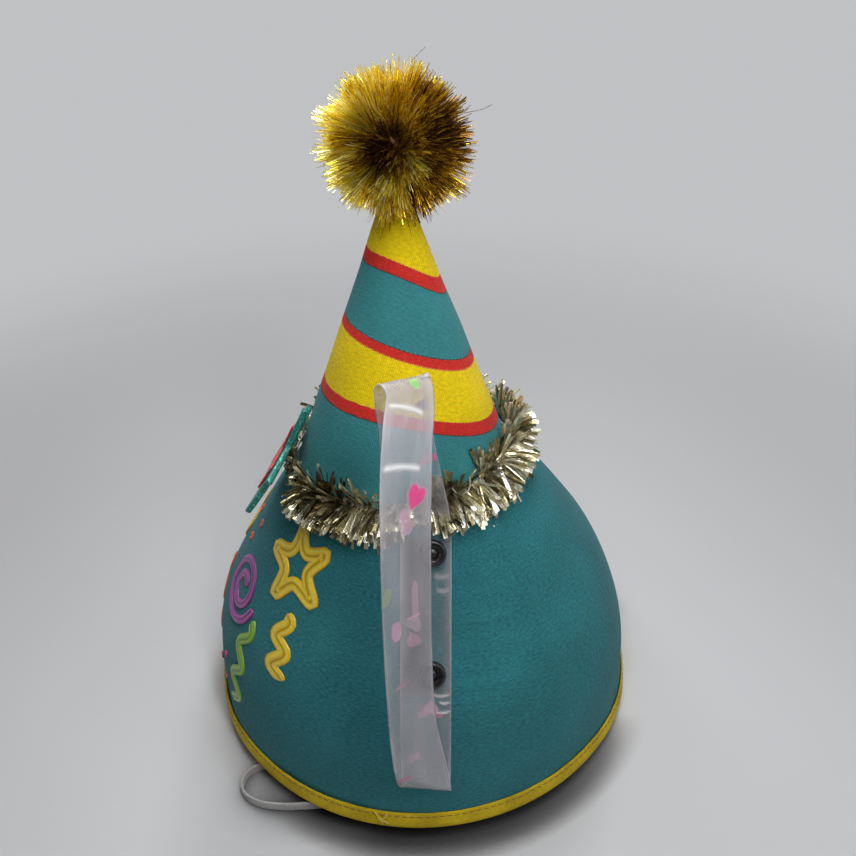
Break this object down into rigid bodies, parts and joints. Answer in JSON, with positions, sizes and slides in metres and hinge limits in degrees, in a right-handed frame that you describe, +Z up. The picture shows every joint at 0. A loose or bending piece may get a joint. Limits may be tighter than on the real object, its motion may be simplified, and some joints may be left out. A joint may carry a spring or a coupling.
{
  "type": "party hat",
  "caption": "Stiffened fabric dome hat with a striped cone, tinsel garland and ball, felt star, taped rim, chin elastic and a clear film loop snapped to one side.",
  "frame": {"origin": "on the floor under the middle of the solids' box, the chin elastic left out; the rim's own middle is 7.4 mm towards -X", "axes": "+Z up, -Y the wearer's front with the star, +X the side with the film loop"},
  "size_m": [0.2118, 0.2024, 0.2895],
  "materials": {
    "teal_fabric": "matt woven cloth over thin foam",
    "striped_fabric": "matt woven cloth printed with yellow and red stripes",
    "yellow_tape": "folded bias tape, stitched",
    "champagne_foil": "bright metallised film strips",
    "garland_wire": "twisted wire",
    "gold_foil": "bright metallised film threads",
    "green_felt": "glitter felt",
    "red_felt": "felt",
    "clear_film": "milky clear film",
    "black_plastic": "smooth moulded",
    "white_elastic": "ribbed woven elastic"
  },
  "bodies": {
    "root": {"dome_shell": "teal_fabric", "cone_shell": "striped_fabric", "rim_binding": "yellow_tape", "garland_fringe": "champagne_foil", "garland_core": "garland_wire", "pompom": "gold_foil", "star_backing": "green_felt", "star_face": "red_felt", "clear_strap": "clear_film", "snap_socket_upper": "black_plastic", "snap_socket_lower": "black_plastic", "snap_post_upper": "black_plastic", "snap_post_lower": "black_plastic", "chin_elastic": "white_elastic"}
  },
  "joints": []
}
